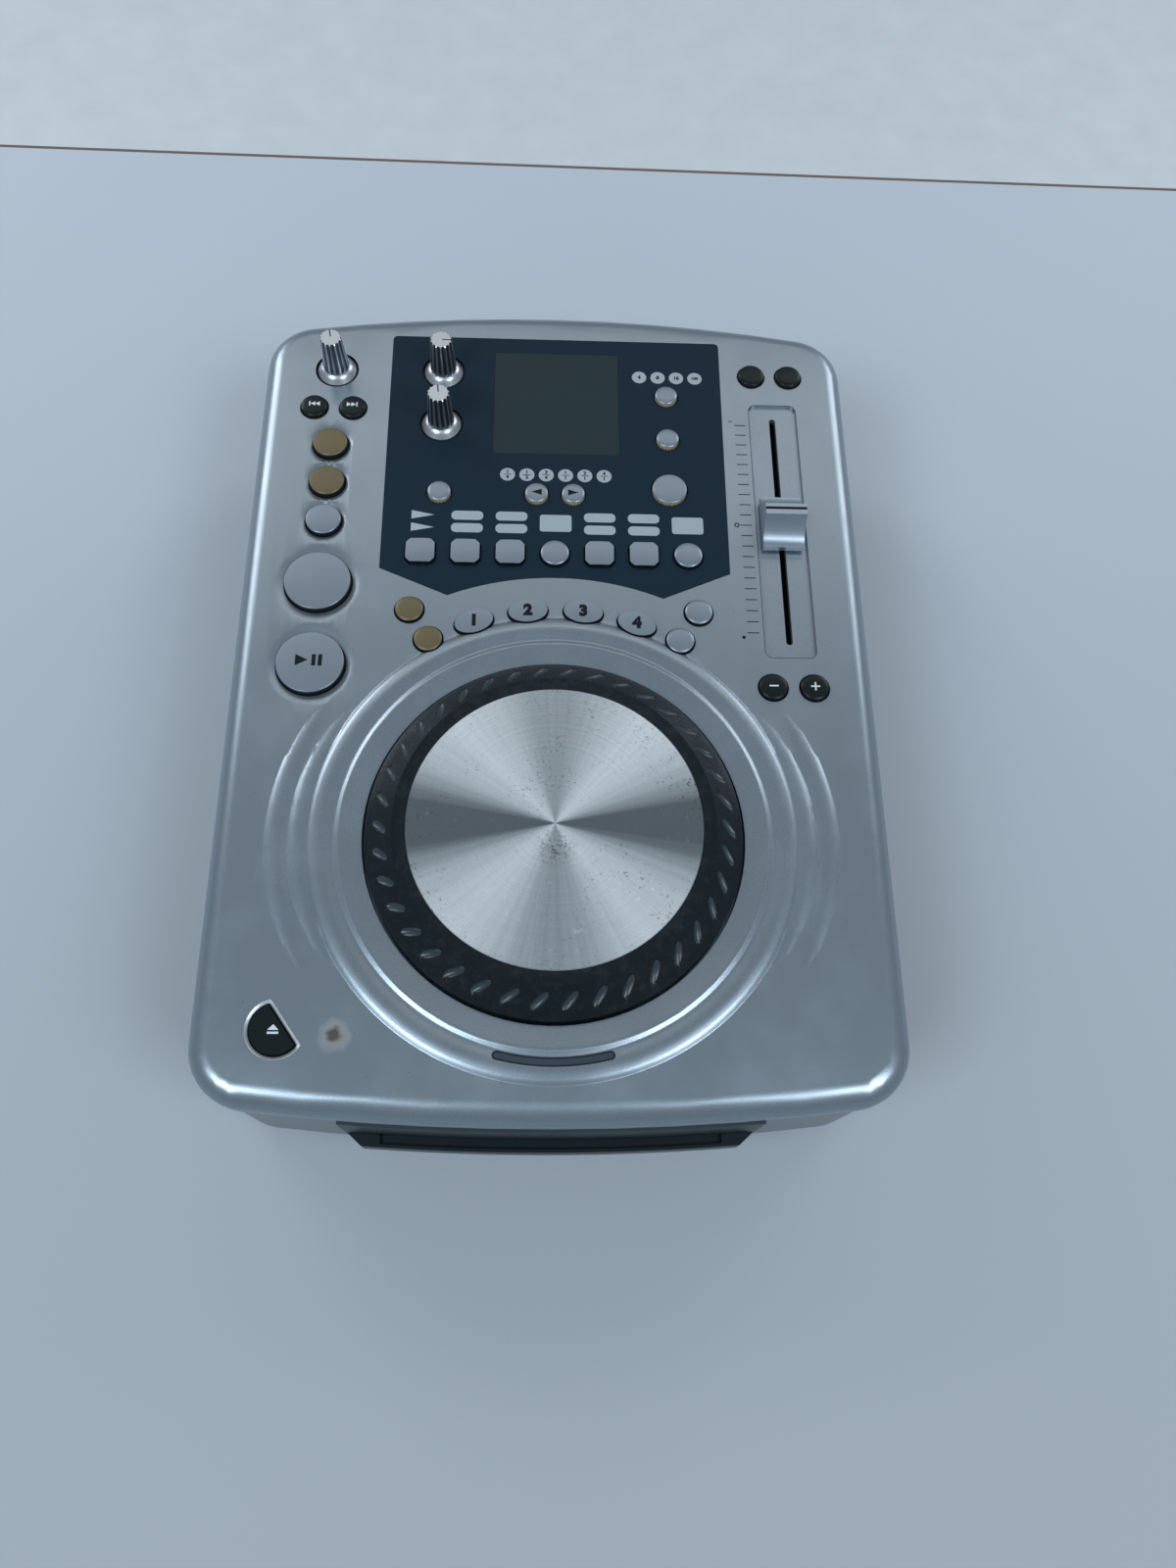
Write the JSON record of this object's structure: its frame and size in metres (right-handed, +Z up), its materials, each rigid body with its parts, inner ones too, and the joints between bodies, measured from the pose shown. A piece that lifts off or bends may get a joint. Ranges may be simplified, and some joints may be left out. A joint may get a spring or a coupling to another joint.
{
  "type": "tabletop dj cd player",
  "caption": "Tabletop disc player with a large jog wheel, a front disc drawer, a pitch fader, knobs, a display window and rows of push keys.",
  "frame": {"origin": "on the table, under the centre of the object's bounding box", "axes": "+Z up, -Y towards the player's front (the disc drawer), +X to the right seen from the front"},
  "size_m": [0.2474, 0.3508, 0.099],
  "materials": {
    "silver_paint": "satin metallic",
    "pale_case": "satin",
    "navy_panel": "satin",
    "display": "smoked gloss",
    "lamp_print": "gloss",
    "silver_key": "satin metallic",
    "gold_key": "satin metallic",
    "dark_key": "satin",
    "knob_metal": "satin",
    "jog_rubber": "satin",
    "jog_metal": "radially brushed",
    "steel": "plain",
    "bronze": "plain",
    "foot_rubber": "matt",
    "board": "solder mask",
    "dark_plastic": "matt",
    "tray_front": "satin",
    "loader_metal": "plain",
    "gear_plastic": "matt"
  },
  "bodies": {
    "root": {"top_cover": "silver_paint", "base_pan": "pale_case", "feet": "foot_rubber", "screws": "steel", "control_panel": "navy_panel", "display_window": "display", "lamp_windows": "lamp_print", "control_board": "board", "main_board": "board", "power_supply": "board", "jog_bearing": "bronze", "fader_body": "dark_plastic", "loader_frame": "loader_metal"},
    "skip_back_key": {"skip_back_key": "dark_key"},
    "skip_forward_key": {"skip_forward_key": "dark_key"},
    "loop_in_key": {"loop_in_key": "gold_key"},
    "loop_out_key": {"loop_out_key": "gold_key"},
    "loop_again_key": {"loop_again_key": "silver_key"},
    "cue_key": {"cue_key": "silver_key"},
    "play_key": {"play_key": "silver_key"},
    "sampler_key": {"sampler_key": "gold_key"},
    "memory_key": {"memory_key": "gold_key"},
    "time_key": {"time_key": "silver_key"},
    "single_key": {"single_key": "silver_key"},
    "tempo_lock_key": {"tempo_lock_key": "dark_key"},
    "pitch_on_key": {"pitch_on_key": "dark_key"},
    "bend_down_key": {"bend_down_key": "dark_key"},
    "bend_up_key": {"bend_up_key": "dark_key"},
    "bank_select_key": {"bank_select_key": "silver_key"},
    "beat_left_key": {"beat_left_key": "silver_key"},
    "beat_right_key": {"beat_right_key": "silver_key"},
    "pitch_range_key": {"pitch_range_key": "silver_key"},
    "bpm_key": {"bpm_key": "silver_key"},
    "tap_key": {"tap_key": "silver_key"},
    "bank_1_key": {"bank_1_key": "silver_key"},
    "bank_2_key": {"bank_2_key": "silver_key"},
    "bank_3_key": {"bank_3_key": "silver_key"},
    "bank_4_key": {"bank_4_key": "silver_key"},
    "effect_1_key": {"effect_1_key": "silver_key"},
    "effect_2_key": {"effect_2_key": "silver_key"},
    "effect_3_key": {"effect_3_key": "silver_key"},
    "effect_4_key": {"effect_4_key": "silver_key"},
    "effect_5_key": {"effect_5_key": "silver_key"},
    "effect_6_key": {"effect_6_key": "silver_key"},
    "effect_7_key": {"effect_7_key": "silver_key"},
    "eject_key": {"eject_key": "dark_key"},
    "jog_wheel": {"jog_ring": "jog_rubber", "jog_disc": "jog_metal", "jog_spindle": "steel"},
    "search_knob": {"search_knob": "knob_metal"},
    "upper_knob": {"upper_knob": "knob_metal"},
    "lower_knob": {"lower_knob": "knob_metal"},
    "fader_cap": {"fader_cap": "knob_metal"},
    "drawer": {"disc_tray": "dark_plastic", "tray_front": "tray_front"},
    "loader_gear": {"loader_gear": "gear_plastic"},
    "disc_hub": {"disc_hub": "dark_plastic"},
    "disc_clamp": {"disc_clamp": "dark_plastic"},
    "laser_sled": {"laser_sled": "dark_plastic"},
    "power_switch": {"power_switch": "dark_plastic"}
  },
  "joints": [
    {"name": "skip_back_key_press", "type": "slide", "parent": "root", "child": "skip_back_key", "axis": [0, 0, -1], "range_m": [0, 0.001], "stiffness_N_per_m": 600, "springref_m": -0.0005},
    {"name": "skip_forward_key_press", "type": "slide", "parent": "root", "child": "skip_forward_key", "axis": [0, 0, -1], "range_m": [0, 0.001], "stiffness_N_per_m": 600, "springref_m": -0.0005},
    {"name": "loop_in_key_press", "type": "slide", "parent": "root", "child": "loop_in_key", "axis": [0, 0, -1], "range_m": [0, 0.001], "stiffness_N_per_m": 600, "springref_m": -0.0005},
    {"name": "loop_out_key_press", "type": "slide", "parent": "root", "child": "loop_out_key", "axis": [0, 0, -1], "range_m": [0, 0.001], "stiffness_N_per_m": 600, "springref_m": -0.0005},
    {"name": "loop_again_key_press", "type": "slide", "parent": "root", "child": "loop_again_key", "axis": [0, 0, -1], "range_m": [0, 0.001], "stiffness_N_per_m": 600, "springref_m": -0.0005},
    {"name": "cue_key_press", "type": "slide", "parent": "root", "child": "cue_key", "axis": [0, 0, -1], "range_m": [0, 0.0014], "stiffness_N_per_m": 800, "springref_m": -0.0006},
    {"name": "play_key_press", "type": "slide", "parent": "root", "child": "play_key", "axis": [0, 0, -1], "range_m": [0, 0.0014], "stiffness_N_per_m": 800, "springref_m": -0.0006},
    {"name": "sampler_key_press", "type": "slide", "parent": "root", "child": "sampler_key", "axis": [0, 0, -1], "range_m": [0, 0.001], "stiffness_N_per_m": 600, "springref_m": -0.0005},
    {"name": "memory_key_press", "type": "slide", "parent": "root", "child": "memory_key", "axis": [0, 0, -1], "range_m": [0, 0.001], "stiffness_N_per_m": 600, "springref_m": -0.0005},
    {"name": "time_key_press", "type": "slide", "parent": "root", "child": "time_key", "axis": [0, 0, -1], "range_m": [0, 0.001], "stiffness_N_per_m": 600, "springref_m": -0.0005},
    {"name": "single_key_press", "type": "slide", "parent": "root", "child": "single_key", "axis": [0, 0, -1], "range_m": [0, 0.001], "stiffness_N_per_m": 600, "springref_m": -0.0005},
    {"name": "tempo_lock_key_press", "type": "slide", "parent": "root", "child": "tempo_lock_key", "axis": [0, 0, -1], "range_m": [0, 0.001], "stiffness_N_per_m": 600, "springref_m": -0.0005},
    {"name": "pitch_on_key_press", "type": "slide", "parent": "root", "child": "pitch_on_key", "axis": [0, 0, -1], "range_m": [0, 0.001], "stiffness_N_per_m": 600, "springref_m": -0.0005},
    {"name": "bend_down_key_press", "type": "slide", "parent": "root", "child": "bend_down_key", "axis": [0, 0, -1], "range_m": [0, 0.001], "stiffness_N_per_m": 600, "springref_m": -0.0005},
    {"name": "bend_up_key_press", "type": "slide", "parent": "root", "child": "bend_up_key", "axis": [0, 0, -1], "range_m": [0, 0.001], "stiffness_N_per_m": 600, "springref_m": -0.0005},
    {"name": "bank_select_key_press", "type": "slide", "parent": "root", "child": "bank_select_key", "axis": [0, 0, -1], "range_m": [0, 0.001], "stiffness_N_per_m": 600, "springref_m": -0.0005},
    {"name": "beat_left_key_press", "type": "slide", "parent": "root", "child": "beat_left_key", "axis": [0, 0, -1], "range_m": [0, 0.001], "stiffness_N_per_m": 600, "springref_m": -0.0005},
    {"name": "beat_right_key_press", "type": "slide", "parent": "root", "child": "beat_right_key", "axis": [0, 0, -1], "range_m": [0, 0.001], "stiffness_N_per_m": 600, "springref_m": -0.0005},
    {"name": "pitch_range_key_press", "type": "slide", "parent": "root", "child": "pitch_range_key", "axis": [0, 0, -1], "range_m": [0, 0.001], "stiffness_N_per_m": 600, "springref_m": -0.0005},
    {"name": "bpm_key_press", "type": "slide", "parent": "root", "child": "bpm_key", "axis": [0, 0, -1], "range_m": [0, 0.001], "stiffness_N_per_m": 600, "springref_m": -0.0005},
    {"name": "tap_key_press", "type": "slide", "parent": "root", "child": "tap_key", "axis": [0, 0, -1], "range_m": [0, 0.001], "stiffness_N_per_m": 600, "springref_m": -0.0005},
    {"name": "bank_1_key_press", "type": "slide", "parent": "root", "child": "bank_1_key", "axis": [0, 0, -1], "range_m": [0, 0.001], "stiffness_N_per_m": 600, "springref_m": -0.0005},
    {"name": "bank_2_key_press", "type": "slide", "parent": "root", "child": "bank_2_key", "axis": [0, 0, -1], "range_m": [0, 0.001], "stiffness_N_per_m": 600, "springref_m": -0.0005},
    {"name": "bank_3_key_press", "type": "slide", "parent": "root", "child": "bank_3_key", "axis": [0, 0, -1], "range_m": [0, 0.001], "stiffness_N_per_m": 600, "springref_m": -0.0005},
    {"name": "bank_4_key_press", "type": "slide", "parent": "root", "child": "bank_4_key", "axis": [0, 0, -1], "range_m": [0, 0.001], "stiffness_N_per_m": 600, "springref_m": -0.0005},
    {"name": "effect_1_key_press", "type": "slide", "parent": "root", "child": "effect_1_key", "axis": [0, 0, -1], "range_m": [0, 0.001], "stiffness_N_per_m": 600, "springref_m": -0.0005},
    {"name": "effect_2_key_press", "type": "slide", "parent": "root", "child": "effect_2_key", "axis": [0, 0, -1], "range_m": [0, 0.001], "stiffness_N_per_m": 600, "springref_m": -0.0005},
    {"name": "effect_3_key_press", "type": "slide", "parent": "root", "child": "effect_3_key", "axis": [0, 0, -1], "range_m": [0, 0.001], "stiffness_N_per_m": 600, "springref_m": -0.0005},
    {"name": "effect_4_key_press", "type": "slide", "parent": "root", "child": "effect_4_key", "axis": [0, 0, -1], "range_m": [0, 0.001], "stiffness_N_per_m": 600, "springref_m": -0.0005},
    {"name": "effect_5_key_press", "type": "slide", "parent": "root", "child": "effect_5_key", "axis": [0, 0, -1], "range_m": [0, 0.001], "stiffness_N_per_m": 600, "springref_m": -0.0005},
    {"name": "effect_6_key_press", "type": "slide", "parent": "root", "child": "effect_6_key", "axis": [0, 0, -1], "range_m": [0, 0.001], "stiffness_N_per_m": 600, "springref_m": -0.0005},
    {"name": "effect_7_key_press", "type": "slide", "parent": "root", "child": "effect_7_key", "axis": [0, 0, -1], "range_m": [0, 0.001], "stiffness_N_per_m": 600, "springref_m": -0.0005},
    {"name": "eject_key_press", "type": "slide", "parent": "root", "child": "eject_key", "axis": [0, 0, -1], "range_m": [0, 0.001], "stiffness_N_per_m": 600, "springref_m": -0.0005},
    {"name": "jog_spin", "type": "hinge", "parent": "root", "child": "jog_wheel", "pos_m": [0, -0.0684, 0.08], "axis": [0, 0, 1], "continuous": true},
    {"name": "search_turn", "type": "hinge", "parent": "root", "child": "search_knob", "pos_m": [-0.0931, 0.1404, 0.08], "axis": [0, 0, 1], "continuous": true},
    {"name": "upper_turn", "type": "hinge", "parent": "root", "child": "upper_knob", "pos_m": [-0.048, 0.1408, 0.08], "axis": [0, 0, 1], "range_deg": [-60, 240]},
    {"name": "lower_turn", "type": "hinge", "parent": "root", "child": "lower_knob", "pos_m": [-0.048, 0.1134, 0.08], "axis": [0, 0, 1], "range_deg": [-150, 150]},
    {"name": "fader_slide", "type": "slide", "parent": "root", "child": "fader_cap", "axis": [0, 1, 0], "range_m": [-0.05, 0.05]},
    {"name": "drawer_slide", "type": "slide", "parent": "root", "child": "drawer", "axis": [0, -1, 0], "range_m": [0, 0.132]},
    {"name": "gear_turn", "type": "hinge", "parent": "root", "child": "loader_gear", "pos_m": [-0.044, -0.1444, 0.031], "axis": [0, 0, 1], "range_deg": [-10, 800]},
    {"name": "hub_spin", "type": "hinge", "parent": "root", "child": "disc_hub", "pos_m": [0, -0.0864, 0.046], "axis": [0, 0, 1], "continuous": true},
    {"name": "clamp_spin", "type": "hinge", "parent": "root", "child": "disc_clamp", "pos_m": [0, -0.0864, 0.055], "axis": [0, 0, 1], "continuous": true},
    {"name": "sled_slide", "type": "slide", "parent": "root", "child": "laser_sled", "axis": [0, 1, 0], "range_m": [0, 0.034]},
    {"name": "switch_rock", "type": "hinge", "parent": "root", "child": "power_switch", "pos_m": [0.044, 0.1584, 0.042], "axis": [1, 0, 0], "range_deg": [0, 14]}
  ],
  "couplings": [
    {"joint": "gear_turn", "follows": "drawer_slide", "rad_per_m": 100}
  ]
}
